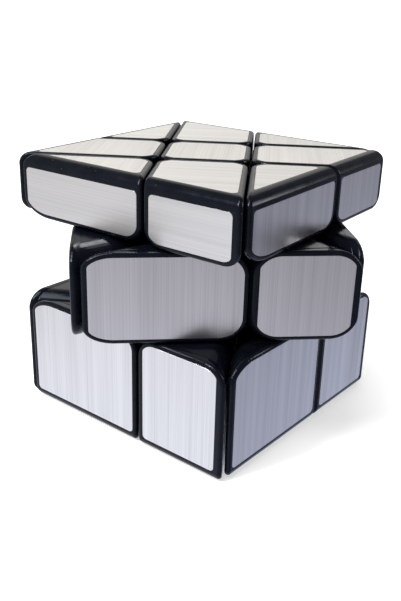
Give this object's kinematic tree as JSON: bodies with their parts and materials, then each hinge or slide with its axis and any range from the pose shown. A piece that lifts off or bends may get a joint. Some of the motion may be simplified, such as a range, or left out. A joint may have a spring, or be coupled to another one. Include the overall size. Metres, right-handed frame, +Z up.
{
  "type": "twisty puzzle cube",
  "caption": "Glossy black twisty puzzle cube with slanted windmill cuts, layers of unequal height that turn on a sprung core, and brushed silver foil on every outer face.",
  "frame": {"origin": "on the resting plane, on the upright axis through the core, under the centre of all three layers", "axes": "+Z up along the turning axis of the top and bottom layers; X and Y along the bottom layer's square sides"},
  "size_m": [0.0804, 0.0804, 0.057],
  "materials": {
    "black_plastic": "glossy moulded ABS",
    "inner_plastic": "satin moulded ABS",
    "silver_foil": "brushed metallised foil sticker",
    "bright_steel": "zinc-plated steel"
  },
  "bodies": {
    "core_and_middle_layer": {"core": "inner_plastic", "middle_edge_foot_1": "inner_plastic", "middle_edge_foot_2": "inner_plastic", "middle_edge_foot_3": "inner_plastic", "middle_edge_foot_4": "inner_plastic", "middle_edge_shell_1": "black_plastic", "middle_edge_shell_2": "black_plastic", "middle_edge_shell_3": "black_plastic", "middle_edge_shell_4": "black_plastic", "middle_stickers": "silver_foil", "side_centre_cap_1": "black_plastic", "side_centre_cap_2": "black_plastic", "side_centre_cap_3": "black_plastic", "side_centre_cap_4": "black_plastic", "side_centre_hub_1": "inner_plastic", "side_centre_hub_2": "inner_plastic", "side_centre_hub_3": "inner_plastic", "side_centre_hub_4": "inner_plastic", "springs": "bright_steel", "tension_screws": "bright_steel", "washers": "bright_steel"},
    "top_layer": {"top_centre_cap": "black_plastic", "top_centre_hub": "inner_plastic", "top_corner_foot_1": "inner_plastic", "top_corner_foot_2": "inner_plastic", "top_corner_foot_3": "inner_plastic", "top_corner_foot_4": "inner_plastic", "top_corner_shell_1": "black_plastic", "top_corner_shell_2": "black_plastic", "top_corner_shell_3": "black_plastic", "top_corner_shell_4": "black_plastic", "top_edge_foot_1": "inner_plastic", "top_edge_foot_2": "inner_plastic", "top_edge_foot_3": "inner_plastic", "top_edge_foot_4": "inner_plastic", "top_edge_shell_1": "black_plastic", "top_edge_shell_2": "black_plastic", "top_edge_shell_3": "black_plastic", "top_edge_shell_4": "black_plastic", "top_stickers": "silver_foil"},
    "bottom_layer": {"bottom_centre_cap": "black_plastic", "bottom_centre_hub": "inner_plastic", "bottom_corner_foot_1": "inner_plastic", "bottom_corner_foot_2": "inner_plastic", "bottom_corner_foot_3": "inner_plastic", "bottom_corner_foot_4": "inner_plastic", "bottom_corner_shell_1": "black_plastic", "bottom_corner_shell_2": "black_plastic", "bottom_corner_shell_3": "black_plastic", "bottom_corner_shell_4": "black_plastic", "bottom_edge_foot_1": "inner_plastic", "bottom_edge_foot_2": "inner_plastic", "bottom_edge_foot_3": "inner_plastic", "bottom_edge_foot_4": "inner_plastic", "bottom_edge_shell_1": "black_plastic", "bottom_edge_shell_2": "black_plastic", "bottom_edge_shell_3": "black_plastic", "bottom_edge_shell_4": "black_plastic", "bottom_stickers": "silver_foil"}
  },
  "joints": [
    {"name": "top_layer_turn", "type": "hinge", "parent": "core_and_middle_layer", "child": "top_layer", "pos_m": [0, 0, 0.0345], "axis": [0, 0, 1], "continuous": true},
    {"name": "bottom_layer_turn", "type": "hinge", "parent": "core_and_middle_layer", "child": "bottom_layer", "pos_m": [0, 0, 0.0345], "axis": [0, 0, 1], "continuous": true}
  ]
}
